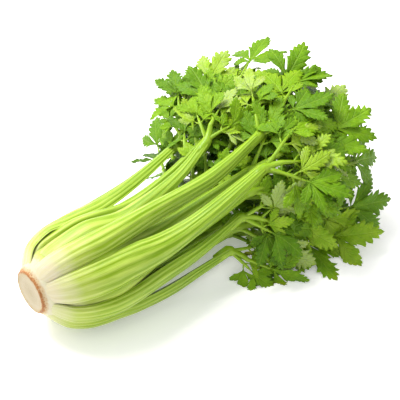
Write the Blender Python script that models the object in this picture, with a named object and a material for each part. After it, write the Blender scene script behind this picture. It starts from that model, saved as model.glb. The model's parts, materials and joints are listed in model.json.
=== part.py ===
"""Head of celery, lying on its side.

The cut root end faces -X and the leaves point along +X. Y runs across the head
and Z is up, with the resting surface at z = 0. Every stalk is one crescent
section swept along its own spine, packed round the root plate in an outer ring,
a middle ring and a heart. Each stalk carries one compound leaf: a ribbed leaf
stem with pairs of three-lobed leaflets and one leaflet at its end.
"""

import math
from collections import namedtuple

import bmesh
import bpy
from mathutils import Matrix, Vector
from mathutils.bvhtree import BVHTree

MM = 0.001

# The bundle's centre line, round which the stalks are packed: (x, y, z). It bends
# a little to the near side behind the root plate, as the stalks lean together.
AXIS = ((0, 0, 49), (25, -4, 50), (65, -9, 53), (120, -9, 56), (200, -7, 60))

# The root plate: a cut disc, with a cone behind it that the stalks grow from.
FACE_RADIUS = 20.5
FACE_X = 3.0
FACE_SLOPE_Y = -0.11     # the knife left the face a little off square
FACE_SLOPE_Z = 0.08
DISC_BACK_X = 7.0
CONE = ((DISC_BACK_X, 15.0), (14.0, 10.5), (24.0, 5.0), (34.0, 0.0))
CROWN_SEGMENTS = 28

# Stalk sections.
SECTION_OUTER = 8        # spans across the round outer face
SECTION_INNER = 4        # spans across the hollow inner face
NEIGHBOUR_GAP = 0.9      # left between stalks of one ring
WIDEST_SHARE = 26.0      # of the ring's turn, on each side of a stalk
NARROW_WIDTH = 0.78      # width just before the end, against a stalk's own width
NARROW_REACH = 25.0      # how far before its end a stalk narrows
INNER_DEPTH = 0.6        # least hollow of the inner face, against the section's depth
INNER_SETBACK = 0.6      # of the inner face behind the section's two edges
TIP_DEPTH = 4.5
TIP_THICKNESS = 5.5
STATION_POWER = 1.35     # sections stand closer together towards the root plate

# Leaves.
STEM_SIDES = 5
STEM_START_RADIUS = 3.6
STEM_END_RADIUS = 1.5
STEM_FLATNESS = 0.85     # height of the leaf stem against its width
STEPS_PER_PAIR = 2       # of the leaf stem, on top of three for its end leaflet
LEAF_START_GAP = 0.6     # between the end of a stalk and its leaf stem
LEAD_IN = 12.0           # length of the stalk's end that the leaf stem carries on from
LEAF_THICKNESS = 1.2
CLEARANCE = 0.5          # kept all round a leaflet
SIDE_ANGLE = 52.0        # between a side leaflet and the leaf stem
STAGGER = 0.3            # of one step of the leaf stem, between a pair's two seats
PAIR_SPACING = 3         # steps of the leaf stem between pairs
PAIR_SIZE = 0.92         # of the end leaflet, for the pair next to it
PAIR_SHRINK = 0.08       # less for each pair further back
SIDE_ROLL = 14.0         # turn of a side leaflet about its own midrib, in degrees
UPPER_BACK_LEAN = -0.25  # x of the direction that the leaves' upper sides face
SEARCH_TILTS = (0, 12, -12, 24, -24, 38, -38, 52)
SEARCH_TURNS = (0, 12, -12, 24, -24, 38)
SEARCH_SIZES = (1.0, 0.85, 0.7, 0.55)

# Radius, edge depth and thickness are given against the distance from the cut end.
Ring = namedtuple("Ring", "start radius depth thickness stations")
RINGS = {
    "outer": Ring(
        start=7.6,
        radius=((7.6, 24), (14, 34), (22, 42), (40, 49.5), (65, 53)),
        depth=((7.6, 3.5), (20, 6), (40, 8), (65, 9.5), (120, 10)),
        thickness=((7.6, 5), (20, 8.5), (65, 10), (120, 9)),
        stations=10,
    ),
    "middle": Ring(
        start=15.0,
        radius=((15, 24), (24, 32.5), (40, 37.5), (65, 41)),
        depth=((15, 3.5), (30, 6), (65, 7), (120, 8)),
        thickness=((15, 5), (30, 7), (65, 8), (120, 7.5)),
        stations=8,
    ),
    "heart": Ring(
        start=26.0,
        radius=((26, 19), (40, 25), (65, 28)),
        depth=((26, 4), (65, 6)),
        thickness=((26, 6), (65, 7)),
        stations=7,
    ),
}

# A stalk: its place in its ring (degrees from -Y, turning up to +Z), the width of
# its base, of its middle and of its end, how far it stands out of its ring at the
# root, and where its outer face runs: (x, y, z).
Stalk = namedtuple("Stalk", "name ring angle base width tip_width lift guides")
STALKS = (
    Stalk("outer_stalk_1", "outer", -44, 24, 18, 11, 0,
          ((85, -49, 14), (120, -52, 16), (152, -52, 21), (187, -53, 28))),
    Stalk("outer_stalk_2", "outer", -14, 25, 18, 11, 0,
          ((114, -57, 43), (150, -56, 49), (202, -51, 62))),
    Stalk("outer_stalk_3", "outer", 32, 35, 20, 11, 0,
          ((112, -58, 83), (160, -59, 95), (231, -47, 107))),
    Stalk("outer_stalk_4", "outer", 67, 24, 18, 10, 0,
          ((118, -27, 104), (183, -29, 111), (248, -15, 118))),
    Stalk("outer_stalk_5", "outer", 149, 26, 19, 10, 0,
          ((96, 39, 78), (131, 42, 80), (170, 49, 83), (214, 60, 86))),
    Stalk("outer_stalk_6", "outer", 190, 32, 22, 10, 0, ((120, 48, 42), (200, 58, 50))),
    Stalk("outer_stalk_7", "outer", 231, 32, 22, 10, 0, ((120, 27, 9), (195, 42, 14))),
    Stalk("outer_stalk_8", "outer", 273, 34, 23, 11, 0, ((120, -10, 0.3), (215, -8, 3))),
    Stalk("middle_stalk_1", "middle", -32, 20, 15, 9, 0, ((120, -38, 29), (200, -42, 40))),
    Stalk("middle_stalk_2", "middle", 8, 20, 15, 9, 0,
          ((120, -45, 61), (180, -45, 75), (212, -46, 85))),
    Stalk("middle_stalk_3", "middle", 50, 21, 15, 9, 0, ((120, -33, 80), (225, -30, 95))),
    Stalk("middle_stalk_4", "middle", 100, 22, 17, 10, 3,
          ((98, -6, 94), (134, -4, 98), (173, 5, 102), (212, 19, 110))),
    Stalk("middle_stalk_5", "middle", 138, 18, 13, 9, 0,
          ((120, 20, 80), (170, 24, 88), (222, 32, 102))),
    Stalk("middle_stalk_6", "middle", 178, 24, 17, 9, 0, ((120, 34, 52), (205, 42, 64))),
    Stalk("middle_stalk_7", "middle", 222, 24, 17, 9, 0, ((120, 17, 24), (200, 27, 32))),
    Stalk("middle_stalk_8", "middle", 268, 24, 17, 9, 0, ((120, -11, 16), (205, -11, 21))),
    Stalk("heart_stalk_1", "heart", 5, 18, 13, 7, 0, ((120, -32, 55), (205, -28, 64))),
    Stalk("heart_stalk_2", "heart", 95, 18, 13, 7, 0, ((120, -9, 76), (212, 2, 89))),
    Stalk("heart_stalk_3", "heart", 185, 18, 13, 7, 0, ((120, 14, 52), (205, 18, 62))),
    Stalk("heart_stalk_4", "heart", 275, 18, 13, 7, 0, ((120, -9, 35), (200, -7, 44))),
)

# A leaf: its stalk, where its stem bends and ends, the length of its end
# leaflet, its pairs of side leaflets, and how far its upper side leans
# from straight up towards +Y.
Leaf = namedtuple("Leaf", "name stalk bend end size pairs lean")
LEAVES = (
    Leaf("outer_leaf_1", "outer_stalk_1", (199, -62, 21), (211, -74, 14), 38, 1, -35),
    Leaf("outer_leaf_2", "outer_stalk_2", (217, -60, 60), (233, -70, 52), 42, 2, -50),
    Leaf("outer_leaf_3", "outer_stalk_3", (246, -52, 108), (266, -58, 103), 52, 1, -35),
    Leaf("outer_leaf_4", "outer_stalk_4", (278, -8, 126), (310, 8, 131), 44, 2, -10),
    Leaf("outer_leaf_5", "outer_stalk_5", (225, 76, 95), (236, 92, 101), 36, 2, -10),
    Leaf("outer_leaf_6", "outer_stalk_6", (234, 74, 81), (266, 88, 105), 44, 2, 0),
    Leaf("outer_leaf_7", "outer_stalk_7", (202, 70, 33), (212, 94, 47), 36, 1, 30),
    Leaf("outer_leaf_8", "outer_stalk_8", (246, -36, 9), (286, -76, 12), 46, 2, -20),
    Leaf("middle_leaf_1", "middle_stalk_1", (250, -60, 46), (304, -78, 40), 46, 2, -38),
    Leaf("middle_leaf_2", "middle_stalk_2", (264, -58, 84), (320, -64, 78), 46, 2, -40),
    Leaf("middle_leaf_3", "middle_stalk_3", (268, -38, 104), (310, -42, 106), 48, 2, -20),
    Leaf("middle_leaf_4", "middle_stalk_4", (222, 24, 117), (234, 30, 121), 32, 1, -20),
    Leaf("middle_leaf_5", "middle_stalk_5", (266, 50, 115), (308, 74, 122), 50, 3, -5),
    Leaf("middle_leaf_6", "middle_stalk_6", (254, 68, 75), (298, 94, 77), 46, 2, 30),
    Leaf("middle_leaf_7", "middle_stalk_7", (250, 52, 35), (292, 78, 31), 44, 2, 30),
    Leaf("middle_leaf_8", "middle_stalk_8", (256, -8, 22), (310, -16, 18), 44, 2, -10),
    Leaf("heart_leaf_1", "heart_stalk_1", (262, -26, 81), (322, -12, 98), 46, 2, -15),
    Leaf("heart_leaf_2", "heart_stalk_2", (252, 16, 106), (310, 26, 123), 48, 3, -10),
    Leaf("heart_leaf_3", "heart_stalk_3", (262, 38, 77), (318, 50, 93), 46, 2, 15),
    Leaf("heart_leaf_4", "heart_stalk_4", (260, 6, 53), (318, 16, 59), 44, 2, 0),
)

# Half of a leaflet, as rows of (place on the midrib, place on the margin, reach of
# the margin), all against its length. The lobes point ahead of their veins.
LEAFLET_MARGIN = (
    (0.0, 0.0, 0.035),
    (0.32, 0.44, 0.42),
    (0.50, 0.52, 0.19),
    (0.66, 0.76, 0.28),
    (1.0, 1.0, 0.0),
)
LEAFLET_FOLD = 0.22      # rise of the halves above the midrib, against their reach
LEAFLET_DROOP = 0.20     # how far the tip hangs, against the length

FINISHES = {
    "crown_flesh": ((0.78, 0.68, 0.50), 0.62),
    "stalk_skin": ((0.46, 0.66, 0.10), 0.34),
    "heart_skin": ((0.62, 0.72, 0.22), 0.36),
    "leaf_blade": ((0.16, 0.38, 0.02), 0.48),
}


def clear_scene():
    """Remove every object that the file opened with."""
    for obj in list(bpy.data.objects):
        bpy.data.objects.remove(obj, do_unlink=True)


def make_finish(name):
    """Make the Principled material called name."""
    colour, roughness = FINISHES[name]
    material = bpy.data.materials.new(name)
    material.use_nodes = True
    shader = material.node_tree.nodes["Principled BSDF"]
    shader.inputs["Base Color"].default_value = (*colour, 1.0)
    shader.inputs["Roughness"].default_value = roughness
    shader.inputs["Metallic"].default_value = 0.0
    return material


def curve_value(knots, x):
    """Read a smooth curve through (x, value) knots, level beyond its two ends."""
    if x <= knots[0][0]:
        return knots[0][1]
    if x >= knots[-1][0]:
        return knots[-1][1]
    slopes = []
    for i in range(len(knots)):
        low, high = knots[max(i - 1, 0)], knots[min(i + 1, len(knots) - 1)]
        slopes.append((high[1] - low[1]) / (high[0] - low[0]))
    i = max(k for k in range(len(knots) - 1) if knots[k][0] <= x)
    (x0, v0), (x1, v1) = knots[i], knots[i + 1]
    span = x1 - x0
    t = (x - x0) / span
    return (
        (2 * t**3 - 3 * t**2 + 1) * v0
        + (t**3 - 2 * t**2 + t) * span * slopes[i]
        + (3 * t**2 - 2 * t**3) * v1
        + (t**3 - t**2) * span * slopes[i + 1]
    )


def place(x, y, z):
    """Turn a place in millimetres, measured from the cut end, into metres."""
    return Vector((x, y, z)) * MM


def sweep(rings):
    """Skin a list of rings of points into one closed tube with flat ends."""
    around, along = len(rings[0]), len(rings) - 1
    bm = bmesh.new()
    bmesh.ops.create_grid(bm, x_segments=around, y_segments=along, size=1.0)
    order = sorted(bm.verts, key=lambda v: (round(v.co.y, 4), round(v.co.x, 4)))
    for i, vert in enumerate(order):
        row, column = divmod(i, around + 1)
        vert.co = rings[row][column % around]
    bmesh.ops.remove_doubles(bm, verts=bm.verts, dist=0.00001)
    open_edges = [edge for edge in bm.edges if edge.is_boundary]
    bmesh.ops.holes_fill(bm, edges=open_edges, sides=0)
    bmesh.ops.recalc_face_normals(bm, faces=bm.faces)
    return bm


def add_object(name, bm, material, sharp_angle=40.0):
    """Turn a bmesh into a named object of the scene, shaded smooth."""
    bmesh.ops.triangulate(bm, faces=bm.faces)
    mesh = bpy.data.meshes.new(name)
    bm.to_mesh(mesh)
    bm.free()
    mesh.materials.append(material)
    mesh.shade_smooth()
    mesh.set_sharp_from_angle(angle=math.radians(sharp_angle))
    obj = bpy.data.objects.new(name, mesh)
    bpy.context.scene.collection.objects.link(obj)
    return obj


def axis_point(x):
    """Give the bundle's centre line, as y and z, at one distance from the cut end."""
    return (curve_value([(k[0], k[1]) for k in AXIS], x),
            curve_value([(k[0], k[2]) for k in AXIS], x))


def spine_knots(stalk):
    """List where a stalk's outer face runs: round its ring, then by its guides."""
    angle = math.radians(stalk.angle)
    knots = []
    for x, ring_radius in RINGS[stalk.ring].radius:
        y, z = axis_point(x)
        radius = ring_radius + stalk.lift
        knots.append((x, y - radius * math.cos(angle), z + radius * math.sin(angle)))
    return knots + list(stalk.guides)


def spine_point(stalk, x):
    """Give the outer face's centre, as y and z, at one distance from the cut end."""
    knots = spine_knots(stalk)
    return (curve_value([(k[0], k[1]) for k in knots], x),
            curve_value([(k[0], k[2]) for k in knots], x))


def ring_shares(stalk):
    """Give the turn that a stalk may fill on each side, next to its neighbours."""
    shares = []
    for side in (-1, 1):
        gaps = [((other.angle - stalk.angle) * side % 360, other.width)
                for other in STALKS if other.ring == stalk.ring and other is not stalk]
        gap, width = min(gaps)
        share = gap * stalk.width / (stalk.width + width)
        shares.append(math.radians(min(share, WIDEST_SHARE)))
    return shares


def stalk_section(stalk, x):
    """Build the crescent of points round a stalk at one distance from the cut end."""
    ring = RINGS[stalk.ring]
    tip_x = stalk.guides[-1][0]
    y, z = spine_point(stalk, x)
    axis_y, axis_z = axis_point(x)
    outward = Vector((0, y - axis_y, z - axis_z))
    radius = outward.length
    outward.normalize()
    across = outward.cross(Vector((1, 0, 0)))
    depth = curve_value(ring.depth + ((tip_x, TIP_DEPTH),), x)
    thickness = curve_value(ring.thickness + ((tip_x, TIP_THICKNESS),), x)
    free = curve_value(((60, stalk.base), (130, stalk.width),
                        (tip_x - NARROW_REACH, stalk.width * NARROW_WIDTH),
                        (tip_x, stalk.tip_width)), x)
    low, high = [
        min(free / 2, (radius - depth) * math.tan(share) - NEIGHBOUR_GAP / 2)
        for share in ring_shares(stalk)
    ]
    points = []
    for i in range(SECTION_OUTER + 1):
        turn = math.radians(90 - 180 * i / SECTION_OUTER)
        half = high if turn > 0 else low
        points.append((half * math.sin(turn), depth * (math.cos(turn) - 1)))
    for i in range(1, SECTION_INNER):
        reach = 2 * i / SECTION_INNER - 1
        half = high if reach > 0 else low
        hollow = thickness + (depth - thickness) * reach**2
        points.append((half * reach, -max(hollow, depth * INNER_DEPTH) - INNER_SETBACK))
    centre = Vector((x, y, z))
    return [place(*(centre + across * q + outward * p)) for q, p in points]


def make_stalk(stalk, material):
    """Sweep one stalk from the root plate to the first joint of its leaf."""
    ring = RINGS[stalk.ring]
    tip_x = stalk.guides[-1][0]
    rings = []
    for i in range(ring.stations + 1):
        t = (i / ring.stations)**STATION_POWER
        rings.append(stalk_section(stalk, ring.start + (tip_x - ring.start) * t))
    return add_object(stalk.name, sweep(rings), material)


def make_crown(material):
    """Turn the root plate: a disc with a cut face and the cone behind it."""
    profile = ((FACE_X, 0), (FACE_X, FACE_RADIUS * 0.6), (FACE_X, FACE_RADIUS - 1.0),
               (FACE_X + 1.0, FACE_RADIUS), (DISC_BACK_X, FACE_RADIUS), *CONE)
    bm = bmesh.new()
    verts = [bm.verts.new((x, 0, radius)) for x, radius in profile]
    edges = [bm.edges.new(pair) for pair in zip(verts, verts[1:])]
    bmesh.ops.spin(bm, geom=verts + edges, cent=(0, 0, 0), axis=(1, 0, 0),
                   angle=math.tau, steps=CROWN_SEGMENTS, use_merge=True)
    bmesh.ops.remove_doubles(bm, verts=bm.verts, dist=0.001)
    bmesh.ops.recalc_face_normals(bm, faces=bm.faces)
    for vert in bm.verts:
        x, y, z = vert.co
        if x < DISC_BACK_X - 0.5:
            x += FACE_SLOPE_Y * y + FACE_SLOPE_Z * z
        vert.co = place(x, y, z + AXIS[0][2])
    return add_object("crown", bm, material)


def leaf_path(leaf):
    """List points along a leaf stem, from its stalk's end to its last leaflet."""
    stalk = next(s for s in STALKS if s.name == leaf.stalk)
    tip = Vector(stalk.guides[-1])
    before = Vector((tip.x - LEAD_IN, *spine_point(stalk, tip.x - LEAD_IN)))
    axis_y, axis_z = axis_point(tip.x)
    outward = Vector((0, tip.y - axis_y, tip.z - axis_z)).normalized()
    heading = (tip - before).normalized()
    start = tip + heading * LEAF_START_GAP - outward * (TIP_THICKNESS / 2)
    start.x = tip.x + LEAF_START_GAP
    bend, end = Vector(leaf.bend), Vector(leaf.end)
    control = (start, start.lerp(bend, 0.5) + heading * 2, bend, end)
    count = 3 + STEPS_PER_PAIR * leaf.pairs
    path = []
    for i in range(count + 1):
        t = i / count * 2
        a, b, c = (control[0], control[1], control[2]) if t <= 1 else \
            (control[2], control[2].lerp(control[3], 0.5), control[3])
        u = t if t <= 1 else t - 1
        path.append(a * (1 - u)**2 + b * (2 * u * (1 - u)) + c * u**2)
    return path


def frame_at(point, heading, upper):
    """Give the matrix of a frame with +Y along the heading and +Z on the upper side."""
    heading = heading.normalized()
    side = heading.cross(upper).normalized()
    normal = side.cross(heading)
    rotation = Matrix((side, heading, normal)).transposed()
    return Matrix.Translation(point) @ rotation.to_4x4()


def upper_side(leaf):
    """Give the direction that a leaf's upper side faces."""
    lean = math.radians(leaf.lean)
    return Vector((UPPER_BACK_LEAN, math.sin(lean), math.cos(lean)))


def make_leaf_stem(leaf, path):
    """Sweep the leaf stem, thinner towards its end."""
    upper = upper_side(leaf)
    rings = []
    for i, point in enumerate(path):
        ahead = path[min(i + 1, len(path) - 1)] - path[max(i - 1, 0)]
        if i == 0:
            ahead = Vector((1, 0, 0))
        frame = frame_at(point, ahead, upper)
        taper = i / (len(path) - 1)
        radius = STEM_START_RADIUS + (STEM_END_RADIUS - STEM_START_RADIUS) * taper
        ring = []
        for k in range(STEM_SIDES):
            turn = math.tau * (k + 0.5) / STEM_SIDES
            offset = Vector((math.cos(turn), 0, STEM_FLATNESS * math.sin(turn))) * radius
            ring.append(place(*(frame @ offset)))
        rings.append(ring)
    return sweep(rings)


def make_leaflet(frame, length, thickness):
    """Build one three-lobed leaflet as a thin closed plate in its own frame."""
    rows = len(LEAFLET_MARGIN)
    bm = bmesh.new()
    bmesh.ops.create_grid(bm, x_segments=2, y_segments=rows - 1, size=1.0)
    order = sorted(bm.verts, key=lambda v: (round(v.co.y, 4), round(v.co.x, 4)))
    for i, vert in enumerate(order):
        row, column = divmod(i, 3)
        along, margin, reach = LEAFLET_MARGIN[row]
        side = column - 1
        x = side * reach * length
        y = (margin if side else along) * length
        z = abs(x) * LEAFLET_FOLD - LEAFLET_DROOP * length * (y / length)**2
        vert.co = (x, y, z)
    bmesh.ops.remove_doubles(bm, verts=bm.verts, dist=0.01)
    shell = bmesh.ops.extrude_face_region(bm, geom=list(bm.faces))
    lifted = [item for item in shell["geom"] if isinstance(item, bmesh.types.BMVert)]
    bmesh.ops.translate(bm, verts=lifted, vec=(0, 0, thickness))
    bmesh.ops.translate(bm, verts=bm.verts, vec=(0, 0, -thickness / 2))
    bmesh.ops.recalc_face_normals(bm, faces=bm.faces)
    for vert in bm.verts:
        vert.co = place(*(frame @ vert.co))
    return bm


def leaflet_seats(leaf, path):
    """List each leaflet's seat on its leaf stem: point, heading, size and side."""
    seats = [(path[-1] - (path[-1] - path[-2]) * 0.3, path[-1] - path[-2], leaf.size, 0)]
    upper = upper_side(leaf)
    for pair in range(leaf.pairs):
        i = len(path) - 3 - PAIR_SPACING * pair
        ahead = path[i + 1] - path[i - 1]
        size = leaf.size * (PAIR_SIZE - PAIR_SHRINK * pair)
        for side in (-1, 1):
            turn = Matrix.Rotation(math.radians(side * SIDE_ANGLE), 3, upper)
            point = path[i].lerp(path[i + 1], STAGGER if side > 0 else 0)
            seats.append((point, turn @ ahead, size, side))
    return seats


def seat_leaflet(leaf, seat, obstacles):
    """Turn a leaflet about its seat until it stands clear of all other pieces."""
    point, heading, size, side = seat
    upper = upper_side(leaf)
    for scale in SEARCH_SIZES:
        for tilt in SEARCH_TILTS:
            for swing in SEARCH_TURNS:
                turned = Matrix.Rotation(math.radians(swing), 3, upper) @ heading
                frame = frame_at(point, turned, upper)
                frame = frame @ Matrix.Rotation(math.radians(tilt), 4, "X")
                frame = frame @ Matrix.Rotation(math.radians(side * SIDE_ROLL), 4, "Y")
                trial = make_leaflet(frame, size * scale, LEAF_THICKNESS + 2 * CLEARANCE)
                low = min(vert.co.z for vert in trial.verts)
                tree = BVHTree.FromBMesh(trial)
                trial.free()
                if low >= 0 and not any(tree.overlap(other) for other in obstacles):
                    return make_leaflet(frame, size * scale, LEAF_THICKNESS)
    return None


def join_bodies(name, bodies, material):
    """Join overlapping closed bodies into one by Boolean unions."""
    base = add_object(name, bodies[0], material)
    for body in bodies[1:]:
        tool = add_object("tool", body, material)
        union = base.modifiers.new("union", "BOOLEAN")
        union.operation = "UNION"
        union.solver = "EXACT"
        union.object = tool
        graph = bpy.context.evaluated_depsgraph_get()
        joined = bpy.data.meshes.new_from_object(base.evaluated_get(graph))
        base.modifiers.clear()
        old = base.data
        base.data = joined
        bpy.data.meshes.remove(old)
        bpy.data.objects.remove(tool, do_unlink=True)
    return base


def settle(pieces):
    """Move all meshes together, to put the origin at the bottom centre of their box."""
    corners = [vert.co for obj in pieces for vert in obj.data.vertices]
    low = Vector([min(co[i] for co in corners) for i in range(3)])
    high = Vector([max(co[i] for co in corners) for i in range(3)])
    shift = Vector((-(low.x + high.x) / 2, -(low.y + high.y) / 2, -low.z))
    for obj in pieces:
        obj.data.transform(Matrix.Translation(shift))


def main():
    """Build the head: root plate, stalks, then the leaves in the room that is left."""
    clear_scene()
    finishes = {name: make_finish(name) for name in FINISHES}
    make_crown(finishes["crown_flesh"])
    fixed = []
    for stalk in STALKS:
        skin = "heart_skin" if stalk.ring == "heart" else "stalk_skin"
        obj = make_stalk(stalk, finishes[skin])
        fixed.append(BVHTree.FromPolygons([v.co for v in obj.data.vertices],
                                          [p.vertices for p in obj.data.polygons]))
    paths = {leaf.name: leaf_path(leaf) for leaf in LEAVES}
    bodies = {leaf.name: [make_leaf_stem(leaf, paths[leaf.name])] for leaf in LEAVES}
    trees = {name: [BVHTree.FromBMesh(parts[0])] for name, parts in bodies.items()}
    for leaf in LEAVES:
        others = [tree for name in trees if name != leaf.name for tree in trees[name]]
        for seat in leaflet_seats(leaf, paths[leaf.name]):
            leaflet = seat_leaflet(leaf, seat, fixed + others)
            if leaflet:
                bodies[leaf.name].append(leaflet)
                trees[leaf.name].append(BVHTree.FromBMesh(leaflet))
    for leaf in LEAVES:
        join_bodies(leaf.name, bodies[leaf.name], finishes["leaf_blade"])
    settle(bpy.context.scene.objects)


main()
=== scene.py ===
"""The looks of a head of celery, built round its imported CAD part.

The head lies on its side: the cut root end faces -X, the leaves point along +X
and Z is up. Places are in millimetres from the middle of the cut end's foot,
and a Site turns them into the row frame.
"""

import json
import logging
import math
import random
from collections.abc import Callable
from dataclasses import dataclass
from enum import Enum

import bmesh
import bpy
from bmesh.types import BMFace, BMVert
from bpy.types import ColorRamp, ID, Material, Node, NodeSocket, NodeTree, Object
from mathutils import Matrix, Vector, noise

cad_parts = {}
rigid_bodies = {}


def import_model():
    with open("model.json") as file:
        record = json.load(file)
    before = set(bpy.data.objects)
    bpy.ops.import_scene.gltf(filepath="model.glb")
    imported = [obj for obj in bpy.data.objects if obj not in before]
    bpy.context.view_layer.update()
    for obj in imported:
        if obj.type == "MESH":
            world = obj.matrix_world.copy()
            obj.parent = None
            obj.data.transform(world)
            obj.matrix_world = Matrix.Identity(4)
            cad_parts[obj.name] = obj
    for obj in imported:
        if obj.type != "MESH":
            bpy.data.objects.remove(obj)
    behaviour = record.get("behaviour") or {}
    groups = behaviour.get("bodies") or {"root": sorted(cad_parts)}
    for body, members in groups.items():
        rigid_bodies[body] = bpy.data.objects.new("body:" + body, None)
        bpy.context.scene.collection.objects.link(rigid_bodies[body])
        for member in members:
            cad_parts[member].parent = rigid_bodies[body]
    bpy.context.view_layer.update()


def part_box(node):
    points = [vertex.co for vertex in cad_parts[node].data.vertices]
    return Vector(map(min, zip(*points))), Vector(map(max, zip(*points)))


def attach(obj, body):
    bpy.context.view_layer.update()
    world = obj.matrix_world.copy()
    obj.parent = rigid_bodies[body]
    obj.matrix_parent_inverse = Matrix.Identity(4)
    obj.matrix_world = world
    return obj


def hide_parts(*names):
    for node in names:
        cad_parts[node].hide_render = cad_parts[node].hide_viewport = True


MM = 0.001
MERGE = 0.001
UV_NAME = "skin"
TONE_NAME = "tone"

Knots = tuple[tuple[float, float], ...]
Stops = tuple[tuple[float, str], ...]
Place = tuple[float, float, float]

log = logging.getLogger("celery")


# ---- shared tools


@dataclass(frozen=True)
class Curve:
    """A smooth curve through (x, value) knots, level beyond its two ends."""

    knots: Knots

    def at(self, x: float) -> float:
        """Read the curve.

        Args:
            x: Where to read it, in the knots' own unit.

        Returns:
            The curve's value there.
        """
        knots = self.knots
        if x <= knots[0][0]:
            return knots[0][1]
        if x >= knots[-1][0]:
            return knots[-1][1]
        i = max(k for k in range(len(knots) - 1) if knots[k][0] <= x)
        slopes = []
        for k in (i, i + 1):
            low, high = knots[max(k - 1, 0)], knots[min(k + 1, len(knots) - 1)]
            slopes.append((high[1] - low[1]) / (high[0] - low[0]))
        (x0, v0), (x1, v1) = knots[i], knots[i + 1]
        span = x1 - x0
        t = (x - x0) / span
        places = (2 * t**3 - 3 * t**2 + 1) * v0 + (3 * t**2 - 2 * t**3) * v1
        return places + ((t**3 - 2 * t**2 + t) * slopes[0] + (t**3 - t**2) * slopes[1]) * span


@dataclass(frozen=True)
class Site:
    """Where the head's own millimetres lie in the row frame."""

    origin: Vector

    @classmethod
    def from_frame(cls) -> "Site":
        """Find the head's origin from the box of the CAD root plate."""
        low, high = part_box("crown")
        return cls(Vector((high.x - CONE_TIP_X * MM, (low.y + high.y) / 2, 0)))

    def place(self, point: Vector | Place) -> Vector:
        """Turn a place in millimetres into metres in the row frame."""
        return self.origin + Vector(point) * MM


class Piece:
    """One visible piece under construction: a bmesh in millimetres, and its own random numbers."""

    def __init__(self, seed: int = 0) -> None:
        """Start an empty mesh.

        Args:
            seed: The seed of its random numbers.
        """
        self.rng = random.Random(seed)
        self.bm = bmesh.new()
        self.uv = self.bm.loops.layers.uv.new(UV_NAME)
        self.tone = self.bm.verts.layers.float.new(TONE_NAME)

    def add_grid(self, columns: int, rows: int, locate: Callable[[int, int], tuple[Vector, tuple]],
                 tone: float, material: int = 0) -> list[BMVert]:
        """Add a grid and map it to a surface.

        Args:
            columns: Spans across the grid.
            rows: Spans along the grid.
            locate: Gives the place and the UV of the point at (column, row).
            tone: How far this surface leans from dark to pale, 0 to 1.
            material: The material's index.

        Returns:
            The grid's vertices, row by row.
        """
        made = bmesh.ops.create_grid(self.bm, x_segments=columns, y_segments=rows, size=1.0)["verts"]
        order = sorted(made, key=lambda v: (round(v.co.y, 4), round(v.co.x, 4)))
        spots = {}
        for i, vert in enumerate(order):
            row, column = divmod(i, columns + 1)
            vert.co, spots[vert] = locate(column, row)
            vert[self.tone] = tone
        for face in {face for vert in made for face in vert.link_faces}:
            face.material_index = material
            face.smooth = True
            for loop in face.loops:
                loop[self.uv].uv = spots[loop.vert]
        return order

    def add_tube(self, path: list[Vector], radii: list[float], tone: float, material: int,
                 sides: int = 8) -> None:
        """Sweep a closed round stem with pointed ends and two ribs.

        Args:
            path: Points along its middle.
            radii: Its radius at each point.
            tone: The stem's tone.
            material: The material's index.
            sides: Spans round the stem.
        """
        frames = [frame_at(path[i], path[min(i + 1, len(path) - 1)] - path[max(i - 1, 0)],
                           Vector((0, 0, 1))) for i in range(len(path))]
        lengths = [0.0]
        for a, b in zip(path, path[1:]):
            lengths.append(lengths[-1] + (b - a).length)

        def locate(column: int, row: int) -> tuple[Vector, tuple]:
            """Find one point of the stem."""
            inner = min(max(row - 1, 0), len(path) - 1)
            radius = 0.0 if row in (0, len(path) + 1) else radii[inner]
            turn = math.tau * column / sides
            offset = Vector((math.cos(turn), 0, math.sin(turn))) * radius
            along = (STEM_SKIN_FROM + lengths[inner]) / STALK_UV_LENGTH
            return frames[inner] @ offset, (2 * column / sides, along)

        made = self.add_grid(sides, len(path) + 1, locate, tone, material)
        bmesh.ops.remove_doubles(self.bm, verts=made, dist=MERGE)

    def finish(self, name: str, site: Site, materials: list[Material], slot: str,
               node: str) -> Object:
        """Turn the mesh into a piece that rides on the head and stays above the ground.

        Args:
            name: The piece's name.
            site: Where the millimetres lie.
            materials: Its materials, in the order of their indices.
            slot: The record's material slot; not used.
            node: The CAD node that it stands for.

        Returns:
            The new object.
        """
        for vert in self.bm.verts:
            vert.co.z = settle(vert.co.z)
        bmesh.ops.recalc_face_normals(self.bm, faces=self.bm.faces)
        for vert in self.bm.verts:
            vert.co = site.place(vert.co)
        mesh = bpy.data.meshes.new(name)
        self.bm.to_mesh(mesh)
        self.bm.free()
        for material in materials:
            mesh.materials.append(material)
        obj = bpy.data.objects.new(name, mesh)
        bpy.context.scene.collection.objects.link(obj)
        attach(obj, "root")
        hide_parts(node)
        log.info("%s: %d faces", name, len(mesh.polygons))
        return obj


def frame_at(point: Vector, heading: Vector, upper: Vector) -> Matrix:
    """Give the frame at a point.

    Args:
        point: The frame's origin.
        heading: Where its +Y points.
        upper: The side that its +Z leans to.

    Returns:
        The frame as a matrix.
    """
    heading = heading.normalized()
    side = heading.cross(upper).normalized()
    rotation = Matrix((side, heading, side.cross(heading))).transposed()
    return Matrix.Translation(point) @ rotation.to_4x4()


# ---- finishes


SUBTRACT = {"operation": "SUBTRACT"}
MULTIPLY = {"operation": "MULTIPLY"}
MULTIPLY_ADD = {"operation": "MULTIPLY_ADD"}


def linear(code: str) -> tuple[float, float, float, float]:
    """Turn an sRGB hex colour into a linear one.

    Args:
        code: The colour, such as "#b9da4e".

    Returns:
        Its linear red, green and blue, and an alpha of 1.
    """
    values = []
    for i in (1, 3, 5):
        c = int(code[i:i + 2], 16) / 255
        values.append(c / 12.92 if c <= 0.04045 else ((c + 0.055) / 1.055) ** 2.4)
    return (*values, 1.0)


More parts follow.
